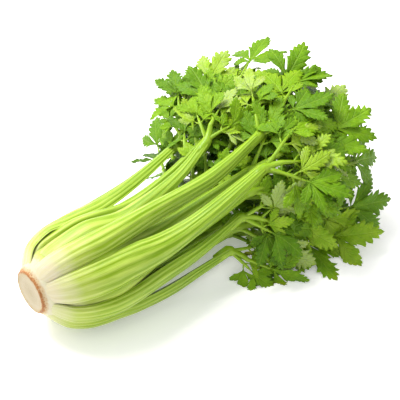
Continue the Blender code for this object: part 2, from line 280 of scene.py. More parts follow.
def fill_ramp(ramp: ColorRamp, stops: Stops) -> None:
    """Give a colour ramp its smooth stops.

    Args:
        ramp: The ramp.
        stops: Its (place, sRGB hex) stops, with places from 0 to 1.
    """
    ramp.interpolation = "EASE"
    while len(ramp.elements) < len(stops):
        ramp.elements.new(0.5)
    for element, (place, code) in zip(ramp.elements, stops):
        element.position = place
        element.color = linear(code)


def spread(stops: Stops, length: float) -> Stops:
    """Turn stops in millimetres into shares of a length."""
    return tuple((mm / length, code) for mm, code in stops)


def add_node(tree: NodeTree, kind: str, settings: dict, *values: object,
             **inputs: object) -> Node:
    """Add a shader node. What goes into it is a value, a socket, or a node's first output.

    Args:
        tree: The material's node tree.
        kind: The node's type, without its ShaderNode prefix.
        settings: Properties of the node itself, or a colour ramp's stops.
        values: What goes into its first inputs, in their order.
        inputs: What goes into others, by name with _ for a space, or in_6 for a place.

    Returns:
        The new node.
    """
    node = tree.nodes.new(f"ShaderNode{kind}")
    for key, value in settings.items():
        if key == "stops":
            fill_ramp(node.color_ramp, value)
        else:
            setattr(node, key, value)
    for key, value in [*enumerate(values), *inputs.items()]:
        if isinstance(key, str):
            key = int(key[3:]) if key.startswith("in_") else key.replace("_", " ")
        if isinstance(value, Node):
            value = value.outputs[0]
        if isinstance(value, NodeSocket):
            tree.links.new(value, node.inputs[key])
        else:
            node.inputs[key].default_value = value
    return node


def start_material(name: str) -> tuple[Material, NodeTree, Node]:
    """Start a material.

    Args:
        name: Its name.

    Returns:
        The material, its node tree and its Principled shader.
    """
    material = bpy.data.materials.new(name)
    material.use_nodes = True
    tree = material.node_tree
    return material, tree, tree.nodes["Principled BSDF"]


def dress_shader(tree: NodeTree, shader: Node, colour: NodeSocket,
                 height: Node, relief: tuple[float, float], settings: dict) -> None:
    """Dress a Principled shader.

    Args:
        tree: The material's node tree.
        shader: The shader.
        colour: Where its colour comes from.
        height: The node that gives the relief's height.
        relief: The relief's strength, and its depth in metres.
        settings: Values of its constant sockets, by name.
    """
    tree.links.new(colour, shader.inputs["Base Color"])
    bump = add_node(tree, "Bump", {}, Height=height, Strength=relief[0], Distance=relief[1])
    tree.links.new(bump.outputs[0], shader.inputs["Normal"])
    for key, value in settings.items():
        shader.inputs[key].default_value = value


@dataclass(frozen=True)
class StalkSkin:
    """Celery epidermis: moist, ribbed skin with pale strings and deeper furrows. Their contrast is partly
    the skin's own colour and partly a painted highlight on the ribs and painted shade in the grooves.

    The light goes a few millimetres into the watery flesh and comes back yellow-green.
    """

    name: str = "celery_stalk_epidermis"
    # (millimetres from the cut end, colour): blanched at the root, green towards the leaf; the strings'
    # paleness is partly a painted highlight and the furrows' deeper green partly painted shade
    strings: Stops = (
        (8, "#c4bea4"), (18, "#c6c69c"), (30, "#bec876"), (50, "#b6c95c"),
        (95, "#b8cc5c"), (170, "#aac548"), (260, "#a2c140"))
    furrows_and_shade: Stops = (
        (8, "#bfb696"), (18, "#b0b473"), (30, "#94a834"), (50, "#7c9a0c"),
        (95, "#739600"), (170, "#688e00"), (260, "#789c0c"))
    string_share: float = 0.6
    ridge_swing: float = 0.4
    streak_swing: float = 3.2
    fibre_shade: float = 0.28
    tone_drift: float = -0.16
    # (noise cells in a rib's width, and in the length of the skin's map)
    streaks: tuple[float, float] = (3.3, 6.6)
    fibres: tuple[float, float] = (14.0, 16.0)

    def build(self) -> Material:
        """Make the material.

        Returns:
            The material.
        """
        material, tree, shader = start_material(self.name)
        uv = add_node(tree, "UVMap", {"uv_map": UV_NAME})
        split = add_node(tree, "SeparateXYZ", {}, uv)
        tone = add_node(tree, "Attribute", {"attribute_name": TONE_NAME}).outputs["Fac"]
        grain = add_node(tree, "Mapping", {}, uv, Scale=(*self.streaks, 1.0))
        streak = add_node(tree, "TexNoise", {}, Vector=grain, Scale=1.0, Detail=4.0, Roughness=0.6)
        grain = add_node(tree, "Mapping", {}, uv, Scale=(*self.fibres, 1.0))
        fibre = add_node(tree, "TexNoise", {}, Vector=grain, Scale=1.0, Detail=3.0, Roughness=0.65)
        turn = add_node(tree, "Math", MULTIPLY, split.outputs[0], math.tau)
        wave = add_node(tree, "Math", {"operation": "COSINE"}, turn)
        ridge = add_node(tree, "Math", MULTIPLY_ADD, wave, self.ridge_swing, 0.5)
        swing = add_node(tree, "Math", SUBTRACT, streak, 0.5)
        share = add_node(tree, "Math", MULTIPLY_ADD, swing, self.streak_swing, ridge)
        share = add_node(tree, "Math", {"operation": "MULTIPLY", "use_clamp": True},
                         share, self.string_share)
        swing = add_node(tree, "Math", SUBTRACT, tone, 0.5)
        along = add_node(tree, "Math", MULTIPLY_ADD, swing, self.tone_drift,
                         split.outputs[1])
        pale, deep = (add_node(tree, "ValToRGB", {"stops": spread(stops, STALK_UV_LENGTH)}, along)
                      for stops in (self.strings, self.furrows_and_shade))
        # strings against furrows: the ribs' own colour, partly painted highlight on the ribs and painted
        # shade in the grooves
        colour = add_node(tree, "Mix", {"data_type": "RGBA"}, share, in_6=deep, in_7=pale).outputs[2]
        swing = add_node(tree, "Math", SUBTRACT, fibre, 0.5)
        light = add_node(tree, "Math", MULTIPLY_ADD, swing, self.fibre_shade, 1.0)
        shade = add_node(tree, "CombineColor", {}, light, light, light)
        colour = add_node(tree, "Mix", {"data_type": "RGBA", "blend_type": "MULTIPLY"}, 1.0,
                          in_6=colour, in_7=shade).outputs[2]
        dress_shader(tree, shader, colour, fibre, (0.4, 0.7 * MM), {
            "Roughness": 0.33, "Specular IOR Level": 0.38, "IOR": 1.42,
            "Subsurface Weight": 0.3, "Subsurface Radius": (0.8, 1.0, 0.15), "Subsurface Scale": 3 * MM})
        return material


@dataclass(frozen=True)
class RootFlesh:
    """The knife-cut root plate: moist cream flesh that browned into a callus round its rim."""

    name: str = "celery_root_plate_cut_flesh"
    # (millimetres from the plate's middle, colour)
    rings: Stops = (
        (0, "#a89a7c"), (7, "#aea186"), (13, "#b4a88e"), (17.8, "#b3a384"),
        (19.0, "#b08c5e"), (19.8, "#8f5424"), (20.4, "#a4713e"), (21.6, "#bca682"),
        (24.5, "#c4bea4"), (28.5, "#c4c09c"), (31.5, "#aebc60"), (36, "#88a020"))
    reach: float = 36.0
    raggedness: float = 0.16
    speck: str = "#94602f"
    speck_radius: float = 20.6
    speck_reach: float = 3.0
    # pattern cells in a metre: ragged patches 3 mm across, specks 2 mm apart
    ragged_scale: float = 300.0
    speck_scale: float = 520.0

    def build(self, centre: Vector) -> Material:
        """Make the material.

        Args:
            centre: The middle of the cut face, in metres.

        Returns:
            The material.
        """
        material, tree, shader = start_material(self.name)
        place = add_node(tree, "TexCoord", {}).outputs["Object"]
        local = add_node(tree, "Mapping", {}, place, Location=-centre)
        flat = add_node(tree, "VectorMath", MULTIPLY, local, (0.0, 1.0, 1.0))
        radius = add_node(tree, "VectorMath", {"operation": "LENGTH"}, flat).outputs["Value"]
        ragged = add_node(tree, "TexNoise", {}, Vector=local, Scale=self.ragged_scale, Detail=5.0,
                          Roughness=0.75)
        cells = add_node(tree, "TexVoronoi", {}, Vector=local, Scale=self.speck_scale)
        swing = add_node(tree, "Math", SUBTRACT, ragged, 0.5)
        share = add_node(tree, "Math", {"operation": "DIVIDE"}, radius, self.reach * MM)
        share = add_node(tree, "Math", MULTIPLY_ADD, swing, self.raggedness, share)
        colour = add_node(tree, "ValToRGB", {"stops": spread(self.rings, self.reach)}, share)
        spot = add_node(tree, "MapRange", {}, cells, 0.15, 0.5, 0.85, 0.0)
        away = add_node(tree, "Math", SUBTRACT, radius, self.speck_radius * MM)
        away = add_node(tree, "Math", {"operation": "ABSOLUTE"}, away)
        near = add_node(tree, "MapRange", {}, away, 0.5 * MM, self.speck_reach * MM, 1.0, 0.0)
        spot = add_node(tree, "Math", MULTIPLY, spot, near)
        colour = add_node(tree, "Mix", {"data_type": "RGBA"}, spot, in_6=colour,
                          in_7=linear(self.speck)).outputs[2]
        dress_shader(tree, shader, colour, ragged, (0.7, 1.8 * MM), {
            "Roughness": 0.55, "IOR": 1.4, "Subsurface Weight": 0.3,
            "Subsurface Radius": (1.0, 0.7, 0.35), "Subsurface Scale": 3 * MM})
        return material


@dataclass(frozen=True)
class LeafBlade:
    """Celery leaf blade: thin and satin, with paler veins sunk into the upper side. Its tones paint
    light: deep green is painted shade on blades deep in the leaves, and pale sage is a painted sheen.

    Light passes through the thin blade, so shaded blades still glow yellow-green.
    """

    name: str
    # (tone, colour): deep green as painted shade, through yellow-green, to pale sage as a painted sheen
    tones_shade_to_sheen: Stops
    vein: str
    roughness: float
    vein_share: float
    # all three against the lobe's length: between side veins, their slant, and a vein's half width
    vein_gap: float = 0.09
    vein_slant: float = 1.3
    vein_reach: float = 0.022
    # noise cells in a metre: colour patches 11 mm, blisters 3 mm and grain 0.9 mm across
    patch_scale: float = 90.0
    blister_scale: float = 320.0
    grain_scale: float = 1100.0

    def vein_mask(self, tree: NodeTree) -> Node:
        """Draw each lobe's rib and its side veins from the lobe's own UV.

        Args:
            tree: The material's node tree.

        Returns:
            The node that gives 1 on a rib, less on a side vein and 0 between them.
        """
        uv = add_node(tree, "UVMap", {"uv_map": UV_NAME})
        split = add_node(tree, "SeparateXYZ", {}, uv)
        across = add_node(tree, "Math", SUBTRACT, split.outputs[0], 0.5)
        across = add_node(tree, "Math", {"operation": "ABSOLUTE"}, across)
        smooth = {"interpolation_type": "SMOOTHSTEP"}
        rib = add_node(tree, "MapRange", smooth, across, 0.003, self.vein_reach + 0.002, 1.0, 0.0)
        slant = add_node(tree, "Math", MULTIPLY, across, self.vein_slant)
        slant = add_node(tree, "Math", SUBTRACT, split.outputs[1], slant)
        comb = add_node(tree, "Math", {"operation": "PINGPONG"}, slant, self.vein_gap)
        side = add_node(tree, "MapRange", smooth, comb, 0.002, self.vein_reach, 0.7, 0.0)
        return add_node(tree, "Math", {"operation": "MAXIMUM"}, rib, side)

    def build(self) -> Material:
        """Make the material.

        Returns:
            The material.
        """
        material, tree, shader = start_material(self.name)
        veins = self.vein_mask(tree)
        tone = add_node(tree, "Attribute", {"attribute_name": TONE_NAME}).outputs["Fac"]
        place = add_node(tree, "TexCoord", {}).outputs["Object"]
        patch = add_node(tree, "TexNoise", {}, Vector=place, Scale=self.patch_scale, Detail=4.0)
        grain = add_node(tree, "TexNoise", {}, Vector=place, Scale=self.grain_scale, Detail=2.0)
        blister = add_node(tree, "TexNoise", {}, Vector=place, Scale=self.blister_scale, Detail=2.0)
        swing = add_node(tree, "Math", SUBTRACT, patch, 0.5)
        tone = add_node(tree, "Math", {"operation": "MULTIPLY_ADD", "use_clamp": True}, swing, 0.5, tone)
        # the tone picks a colour from painted shade to a painted sheen
        colour = add_node(tree, "ValToRGB", {"stops": self.tones_shade_to_sheen}, tone)
        share = add_node(tree, "Math", MULTIPLY, veins, self.vein_share)
        colour = add_node(tree, "Mix", {"data_type": "RGBA"}, share, in_6=colour,
                          in_7=linear(self.vein)).outputs[2]
        sunk = add_node(tree, "Math", MULTIPLY, veins, -0.8)
        swell = add_node(tree, "Math", MULTIPLY_ADD, blister, 1.4, sunk)
        height = add_node(tree, "Math", MULTIPLY_ADD, grain, 0.3, swell)
        dress_shader(tree, shader, colour, height, (0.6, 1.1 * MM), {
            "Roughness": self.roughness, "Specular IOR Level": 0.25, "IOR": 1.4,
            "Subsurface Weight": 0.35, "Subsurface Radius": (0.8, 1.0, 0.05), "Subsurface Scale": MM})
        return material


class BladeSide(Enum):
    """The two sides of a leaf blade."""

    # both ramps run from painted shade at tone 0 to a painted sheen at tone 1
    UPPER = LeafBlade(
        "celery_leaf_blade_upper",
        ((0.0, "#3a5e02"), (0.35, "#547c04"), (0.65, "#6f9608"), (0.85, "#86a524"), (1.0, "#93a95a")),
        "#8fae3c", 0.5, 0.25)
    UNDER = LeafBlade(
        "celery_leaf_blade_under",
        ((0.0, "#46620e"), (0.35, "#5f7d18"), (0.65, "#799626"), (1.0, "#94aa54")),
        "#a0b860", 0.6, 0.3)


# ---- stalks


def settle(height: float) -> float:
    """Bend a height to stay above the ground and under the spray's top.

    Args:
        height: The height in millimetres.

    Returns:
        The height after the bend.
    """
    ground, soft, top, give = 0.15, 1.35, 136.0, 10.0
    if height < ground + soft:
        return ground + soft * math.exp((height - ground - soft) / soft)
    if height > top:
        return top + give * (1 - math.exp((top - height) / give))
    return height


@dataclass(frozen=True)
class Ring:
    """A ring of stalks: its laws against the distance from the cut end, in millimetres."""

    start: float
    radius: Curve
    depth: Knots
    thickness: Knots
    ribs: int


# from the cut end: the CAD root plate's inner end, the length of the skin's map, and the
# part of that map that the stems wear
CONE_TIP_X = 34.0
STALK_UV_LENGTH = 300.0
STEM_SKIN_FROM = 215.0
AXIS_Y = Curve(((0, 0), (25, -4), (65, -9), (120, -9), (200, -7)))
AXIS_Z = Curve(((0, 49), (25, 50), (65, 53), (120, 56), (200, 60)))

OUTER = Ring(
    start=7.6,
    radius=Curve(((7.6, 24), (14, 34), (22, 42), (40, 49.5), (65, 53))),
    depth=((7.6, 3.0), (20, 4.2), (40, 5.8), (65, 8), (120, 9.5)),
    thickness=((7.6, 5), (20, 8.5), (65, 10), (120, 9)),
    ribs=7,
)
MIDDLE = Ring(
    start=15.0,
    radius=Curve(((15, 24), (24, 32.5), (40, 37.5), (65, 41))),
    depth=((15, 3.5), (30, 4.5), (65, 6), (120, 8)),
    thickness=((15, 5), (30, 7), (65, 8), (120, 7.5)),
    ribs=5,
)
HEART = Ring(
    start=26.0,
    radius=Curve(((26, 19), (40, 25), (65, 28))),
    depth=((26, 4), (65, 6)),
    thickness=((26, 6), (65, 7)),
    ribs=5,
)


@dataclass(frozen=True)
class Grain:
    """What makes one stalk's outer face its own."""

    facet: float
    seed: float
    strings: tuple[float, ...]


@dataclass(frozen=True)
class Section:
    """One cross-section of a stalk: where it is, and the crescent's sizes there."""

    x: float
    centre: Vector
    outward: Vector
    across: Vector
    depth: float
    thickness: float
    halves: tuple[float, float]
    scale: float
    radius: float
    wrap: float

    def half(self, side: float) -> float:
        """Give the half width on one side of the middle line."""
        return self.halves[1] if side > 0 else self.halves[0]

    def place(self, q: float, p: float) -> Vector:
        """Place a point of the section.

        Args:
            q: How far it lies across from the outer face's middle line.
            p: How far it lies outward from there.

        Returns:
            Its place in millimetres.
        """
        middle = -self.thickness / 2
        q, p = q * self.scale, middle + (p - middle) * self.scale
        turn, reach = q / (self.radius - self.depth / 2), self.radius + p
        bent = self.across * (reach * math.sin(turn))
        bent += self.outward * (reach * math.cos(turn) - self.radius)
        return self.centre + (self.across * q + self.outward * p).lerp(bent, self.wrap)


@dataclass(frozen=True)
class Stalk:
    """One leaf stalk: a ribbed crescent swept from the root plate to its first leaf joint.

    The guides say where its outer face runs past the ring's own law. The angle is
    its place in the ring, in degrees from -Y turning up to +Z.
    """

    name: str
    ring: Ring
    angle: float
    base: float
    width: float
    tip_width: float
    lift: float
    guides: tuple[Place, ...]
    # how far it turns about its own length, in degrees
    roll: float = 0.0
    columns_outer: int = 72
    columns_inner: int = 20
    rows: int = 64
    # the most that it spreads to each side, in degrees round the head
    widest: Curve = Curve(((8, 42), (30, 40), (60, 26)))
    # how far it bends round the head's axis, 0 to 1
    wrap: Curve = Curve(((60, 1.0), (110, 0.0)))
    seam_lap: float = 0.9
    tip_depth: float = 4.8
    tip_thickness: float = 6.0
    cap_length: float = 4.0
    rib_height: float = 0.5
    facet_height: float = 0.6
    wobble_height: float = 0.4
    lip: float = 0.6

    @property
    def tip_x(self) -> float:
        """Where the stalk ends."""
        return self.guides[-1][0]

    def spine(self) -> tuple[Curve, Curve]:
        """Lay the outer face's middle line.

        Returns:
            Its y and its z, against x.
        """
        angle = math.radians(self.angle)
        radii = [(x, radius + self.lift) for x, radius in self.ring.radius.knots]
        knots = [(x, AXIS_Y.at(x) - radius * math.cos(angle), AXIS_Z.at(x) + radius * math.sin(angle))
                 for x, radius in radii]
        knots += self.guides
        return Curve(tuple((k[0], k[1]) for k in knots)), Curve(tuple((k[0], k[2]) for k in knots))

    def shares(self) -> tuple[float, float]:
        """Share out the turn round the ring between the stalk and its two neighbours.

        Returns:
            How far its lower and its higher edge may lie from its own angle, in degrees.
        """
        found = []
        for side in (-1, 1):
            gap, width = min(((other.angle - self.angle) * side % 360, other.width)
                             for other in STALKS if other.ring is self.ring and other is not self)
            found.append(gap * self.width / (self.width + width))
        return found[0], found[1]

    def stations(self) -> list[float]:
        """Space the sections, closer at the root plate and in the two caps.

        Returns:
            Their distances from the cut end.
        """
        span = self.tip_x - self.ring.start
        ends = [0.0, 0.25, 0.9, 1.8, 3.2, 5.2]
        main = [8 + (span - 16) * (i / self.rows) ** 1.2 for i in range(self.rows + 1)]
        return [self.ring.start + d for d in ends + main + [span - e for e in reversed(ends)]]

    def sections(self) -> list[Section]:
        """Work out the cross-sections.

        Returns:
            The sections, from the root plate to the tip.
        """
        stations = self.stations()
        spine_y, spine_z = self.spine()
        tip_x, shares = self.tip_x, self.shares()
        depth_law = Curve(self.ring.depth + ((tip_x, self.tip_depth),))
        thickness_law = Curve(self.ring.thickness + ((tip_x, self.tip_thickness),))
        width_law = Curve(((60, self.base), (130, self.width), (tip_x - 50, self.width * 0.8),
                           (tip_x - 20, self.width * 0.62), (tip_x, self.tip_width * 0.9)))
        roll_law = Curve(((40, 0.0), (100, math.radians(self.roll))))
        made = []
        for x in stations:
            y, z = spine_y.at(x), spine_z.at(x)
            outward = Vector((0, y - AXIS_Y.at(x), z - AXIS_Z.at(x)))
            radius = outward.length
            outward.normalize()
            depth, widest = depth_law.at(x), self.widest.at(x)
            half, lap = width_law.at(x) / 2, self.seam_lap / 2
            low, high = (min(half, (radius - depth) * math.radians(min(share, widest))) + lap
                         for share in shares)
            end = min(x - stations[0], stations[-1] - x, self.cap_length) / self.cap_length
            scale = math.sqrt(max(0.0, 1 - (1 - end) ** 2))
            across = outward.cross(Vector((1, 0, 0)))
            roll = Matrix.Rotation(roll_law.at(x), 3, "X")
            made.append(Section(x, Vector((x, y, z)), roll @ outward, roll @ across, depth,
                                thickness_law.at(x), (low, high), scale, radius, self.wrap.at(x)))
        return made

    def outer_point(self, section: Section, share: float, grain: Grain) -> Place:
        """Find a point of the ribbed outer face.

        Args:
            section: Its cross-section.
            share: How far round the outer face it lies, 0 to 1.
            grain: What makes the face this stalk's own.

        Returns:
            Its places across and outward, and the ribs before it.
        """
        ribs = share * self.ring.ribs
        turn = math.pi * (0.5 - share)
        half, depth = section.half(turn), section.depth
        relief = self.rib_height * grain.strings[round(ribs)] * (math.cos(math.tau * ribs) - 1) / 2
        relief += self.facet_height * math.cos(3 * turn + grain.facet)
        relief += self.wobble_height * noise.noise(Vector((section.x * 0.02, share * 2.5, grain.seed)))
        relief *= min(1.0, 0.5 + (section.x - self.ring.start) / 60)
        across = half * math.sin(turn) * (1 + relief / max(half, 3))
        return across, depth * (math.cos(turn) * (1 + relief / max(depth, 3)) - 1), ribs

    def inner_point(self, section: Section, reach: float) -> Place:
        """Find a point of the hollow inner face.

        Args:
            section: Its cross-section.
            reach: How far across the inner face it lies, -1 to 1.

        Returns:
            Its places across and outward, and the ribs before it.
        """
        depth, thickness = section.depth, section.thickness
        hollow = thickness + (depth - thickness) * reach**2
        edge = 1 - abs(reach) ** 6
        outward = -max(hollow, depth * 0.6) * edge - depth * (1 - edge) - self.lip * edge
        return section.half(reach) * reach, outward, self.ring.ribs + 0.5 + reach / 2

    def build(self, site: Site, skin: Material, seed: int) -> Object:
        """Make the stalk.

        Args:
            site: Where the millimetres lie.
            skin: Its material.
            seed: The seed of its random numbers.

        Returns:
            The stalk's object.
        """
        piece, sections = Piece(seed), self.sections()
        rng = piece.rng
        grain = Grain(rng.uniform(0, math.tau), rng.uniform(0, 50),
                      tuple(rng.uniform(0.35, 1.0) for _ in range(self.ring.ribs + 1)))

        def locate(column: int, row: int) -> tuple[Vector, tuple]:
            """Find one point of the skin."""
            section, inner = sections[row], column - self.columns_outer
            if inner <= 0:
                across, outward, ribs = self.outer_point(section, column / self.columns_outer, grain)
            else:
                across, outward, ribs = self.inner_point(section, 2 * inner / self.columns_inner - 1)
            return section.place(across, outward), (ribs, section.x / STALK_UV_LENGTH)

        made = piece.add_grid(self.columns_outer + self.columns_inner, len(sections) - 1, locate,
                              rng.uniform(0.3, 0.7))
        bmesh.ops.remove_doubles(piece.bm, verts=made, dist=MERGE)
        slot = "heart_skin" if self.ring is HEART else "stalk_skin"
        return piece.finish(f"{self.name}_skin", site, [skin], slot, self.name)


STALKS = (
    Stalk("outer_stalk_1", OUTER, -44, 24, 18, 11, 0,
          ((85, -49, 14), (120, -52, 16), (152, -52, 21), (187, -53, 28))),
    Stalk("outer_stalk_2", OUTER, -14, 25, 18, 11, 0, ((114, -57, 43), (150, -56, 49), (202, -51, 62))),
    Stalk("outer_stalk_3", OUTER, 32, 37, 20, 11, 0, ((112, -58, 83), (160, -59, 95), (231, -47, 107))),
    Stalk("outer_stalk_4", OUTER, 67, 26, 18, 10, 0,
          ((118, -27, 104), (183, -29, 111), (248, -15, 118))),
    Stalk("outer_stalk_5", OUTER, 149, 38, 19, 10, 0,
          ((96, 39, 78), (131, 42, 80), (170, 49, 83), (214, 60, 86)), roll=35),
    Stalk("outer_stalk_6", OUTER, 190, 32, 22, 10, 0, ((120, 48, 42), (200, 58, 50))),
    Stalk("outer_stalk_7", OUTER, 231, 32, 22, 10, 0, ((120, 27, 9), (195, 42, 14))),
    Stalk("outer_stalk_8", OUTER, 273, 34, 23, 11, 0, ((120, -10, 0.3), (215, -8, 3))),
    Stalk("middle_stalk_1", MIDDLE, -32, 20, 15, 9, 0, ((120, -38, 29), (200, -42, 40))),
    Stalk("middle_stalk_2", MIDDLE, 8, 26, 15, 9, 5, ((120, -45, 61), (180, -45, 75), (212, -46, 85))),
    Stalk("middle_stalk_3", MIDDLE, 50, 30, 15, 9, 6, ((120, -33, 80), (225, -30, 95))),
    Stalk("middle_stalk_4", MIDDLE, 100, 32, 17, 10, 3,
          ((98, -6, 94), (134, -4, 98), (173, 5, 102), (212, 19, 110))),
    Stalk("middle_stalk_5", MIDDLE, 132, 26, 13, 9, 5, ((120, 20, 80), (170, 24, 88), (222, 32, 102))),
    Stalk("middle_stalk_6", MIDDLE, 178, 24, 17, 9, 0, ((120, 34, 52), (205, 42, 64))),
    Stalk("middle_stalk_7", MIDDLE, 222, 24, 17, 9, 0, ((120, 17, 24), (200, 27, 32))),
    Stalk("middle_stalk_8", MIDDLE, 268, 24, 17, 9, 0, ((120, -11, 16), (205, -11, 21))),
    Stalk("heart_stalk_1", HEART, 5, 18, 13, 7, 0, ((120, -32, 55), (205, -28, 64))),
    Stalk("heart_stalk_2", HEART, 95, 18, 13, 7, 0, ((120, -9, 76), (212, 2, 89))),
    Stalk("heart_stalk_3", HEART, 185, 18, 13, 7, 0, ((120, 14, 52), (205, 18, 62))),
    Stalk("heart_stalk_4", HEART, 275, 18, 13, 7, 0, ((120, -9, 35), (200, -7, 44))),
)


# ---- root plate


@dataclass(frozen=True)
class RootPlate:
    """The root plate: the cut disc with its browned rim, and the neck that the stalks grow from."""

    centre: Vector = Vector((0, 0, 49))
    # (x, radius) of the turned profile, from the middle of the face to the neck's inside
    profile: Knots = (
        (3.4, 0.0), (3.3, 5.0), (3.2, 10.0), (3.1, 14.0), (2.9, 17.0), (2.5, 18.6), (2.7, 19.6),
        (3.3, 20.3), (4.3, 20.7), (5.4, 21.6), (7.2, 23.4), (10.0, 25.8),
        (14.0, 28.6), (20.0, 32.6), (28.0, 34.6), (34.0, 33.0), (36.0, 20.0), (36.0, 0.0))
    slope_y: float = -0.03
    slope_z: float = 0.02
    # the cut's slope and roughness fade out by here, where the neck starts to follow the head's axis
    cut_until: float = 9.0
    cut_fade: float = 3.0
    neck_from: float = 8.0
    rim_from: float = 15.0
    steps: int = 96

    def build(self, site: Site, flesh: Material) -> Object:
        """Turn the profile round the head's axis and slope its face as the knife left it.

        Args:
            site: Where the millimetres lie.
            flesh: Its material.

        Returns:
            The root plate's object.
        """
        piece = Piece()
        bm = piece.bm
        verts = [bm.verts.new((x, 0, radius)) for x, radius in self.profile]
        edges = [bm.edges.new(pair) for pair in zip(verts, verts[1:])]
        bmesh.ops.spin(bm, geom=verts + edges, cent=(0, 0, 0), axis=(1, 0, 0),
                       angle=math.tau, steps=self.steps, use_merge=True)
        bmesh.ops.remove_doubles(bm, verts=bm.verts, dist=MERGE)
        bmesh.ops.subdivide_edges(bm, edges=bm.edges, cuts=1, use_grid_fill=True)
        for vert in bm.verts:
            x, y, z = vert.co
            fade = max(0.0, min(1.0, (self.cut_until - x) / self.cut_fade))
            ragged = noise.noise(vert.co * 0.45) * 0.5 + noise.noise(vert.co * 1.6) * 0.22
            reach = math.hypot(y, z)
            grow = 1 + ragged / reach if reach > self.rim_from else 1.0
            x += (self.slope_y * y + self.slope_z * z + ragged * 0.5) * fade
            on_neck = x > self.neck_from
            shift_y = AXIS_Y.at(x) if on_neck else 0.0
            shift_z = AXIS_Z.at(x) if on_neck else self.centre.z
            vert.co = (x, y * grow + shift_y, z * grow + shift_z)
        for face in bm.faces:
            face.smooth = True
        return piece.finish("root_plate_cut", site, [flesh], "crown_flesh", "crown")


# ---- leaves


@dataclass(frozen=True)
class Lobe:
    """One lobe of a blade: a toothed wedge along its own rib, folded up along it.

    Each margin row gives a place on the rib, then the margin's place along the rib
    and its reach from it, all against the lobe's length. Teeth point forward.
    """

    angle: float
    length: float
    seat: float = 0.0
    margin: tuple[Place, ...] = (
        (0.00, 0.00, 0.014), (0.14, 0.16, 0.048), (0.27, 0.32, 0.125), (0.36, 0.46, 0.225),
        (0.40, 0.54, 0.285), (0.44, 0.56, 0.262), (0.47, 0.545, 0.205),
        (0.53, 0.64, 0.255), (0.57, 0.72, 0.282), (0.61, 0.73, 0.245), (0.64, 0.71, 0.180),
        (0.69, 0.78, 0.218), (0.73, 0.85, 0.226), (0.77, 0.855, 0.186), (0.79, 0.835, 0.128),
        (0.84, 0.90, 0.146), (0.88, 0.955, 0.136), (0.91, 0.945, 0.100), (0.925, 0.93, 0.066),
        (0.96, 0.98, 0.060), (0.985, 1.005, 0.038), (1.00, 1.04, 0.000))
    spans: int = 3
    # from this row on the margin is teeth, whose reach varies
    teeth_from: int = 4

    def grow(self, piece: Piece, frame: Matrix, size: float, thickness: float, tone: float) -> None:
        """Add the lobe to a piece.

        Args:
            piece: The piece that it belongs to.
            frame: The blade's foot, with +Y along its midrib and +Z on its upper side.
            size: The blade's length in millimetres.
            thickness: The blade's thickness in millimetres.
            tone: How pale it is, 0 to 1.
        """
        rng = piece.rng
        scale = size * self.length * rng.uniform(0.98, 1.16)
        fold, droop = rng.uniform(0.08, 0.5), rng.uniform(-0.05, 0.32)
        ruffle, phase = rng.uniform(0.005, 0.03), rng.uniform(0, math.tau)
        wide, bow = rng.uniform(0.68, 0.95), rng.uniform(-0.12, 0.12)
        jitter = [rng.uniform(0.85, 1.15) for _ in self.margin]
        turn = Matrix.Rotation(math.radians(-self.angle), 4, "Z")
        foot = Matrix.Translation(Vector((0, self.seat * size, 0)))
        own = frame @ foot @ turn @ Matrix.Rotation(math.radians(rng.uniform(-14, 14)), 4, "Y")

        def locate(column: int, row: int) -> tuple[Vector, tuple]:
            """Find one point of the lobe."""
            on_rib, ahead, reach = self.margin[row]
            share = column / self.spans - 1
            away = abs(share)
            x = share * reach * wide * (jitter[row] if row >= self.teeth_from else 1.0)
            y = on_rib + (ahead - on_rib) * away**1.3
            z = fold * abs(x) * (1 - 0.5 * y) - droop * y * y
            z += ruffle * away * math.sin(14 * y + phase + 2 * share) + 0.02 * y * math.cos(3 * share)
            return own @ (Vector((x + bow * y * y, y, z)) * scale), (0.5 + x, y)

        made = piece.add_grid(2 * self.spans, len(self.margin) - 1, locate, tone, 0)
        bmesh.ops.remove_doubles(piece.bm, verts=made, dist=MERGE)
        sheet = list({face for vert in made if vert.is_valid for face in vert.link_faces})
        shell = bmesh.ops.extrude_face_region(piece.bm, geom=sheet, use_keep_orig=True)
        lower = [item for item in shell["geom"] if isinstance(item, BMVert)]
        bmesh.ops.translate(piece.bm, verts=lower, vec=own.to_3x3() @ Vector((0, 0, -thickness)))
        for item in shell["geom"]:
            if isinstance(item, BMFace):
                item.material_index = 1


@dataclass(frozen=True)
class Leaflet:
    """One blade: three lobes that spread from its foot, or five on a large one."""

    size: float
    thickness: float = 0.35
    five_lobed_from: float = 36.0

    def grow(self, piece: Piece, frame: Matrix, tone: float) -> None:
        """Add the blade to a piece.

        Args:
            piece: The piece that it belongs to.
            frame: Its foot, with +Y along its midrib and +Z on its upper side.
            tone: How pale it is, 0 to 1.
        """
        angle = piece.rng.uniform(42, 54)
        lobes = [Lobe(0, 1.0), Lobe(-angle, 0.76, 0.13), Lobe(angle, 0.76, 0.13)]
        if self.size > self.five_lobed_from:
            lobes += [Lobe(-1.75 * angle, 0.46, 0.1), Lobe(1.75 * angle, 0.46, 0.1)]
        for lobe in lobes:
            lobe.grow(piece, frame, self.size, self.thickness, tone)


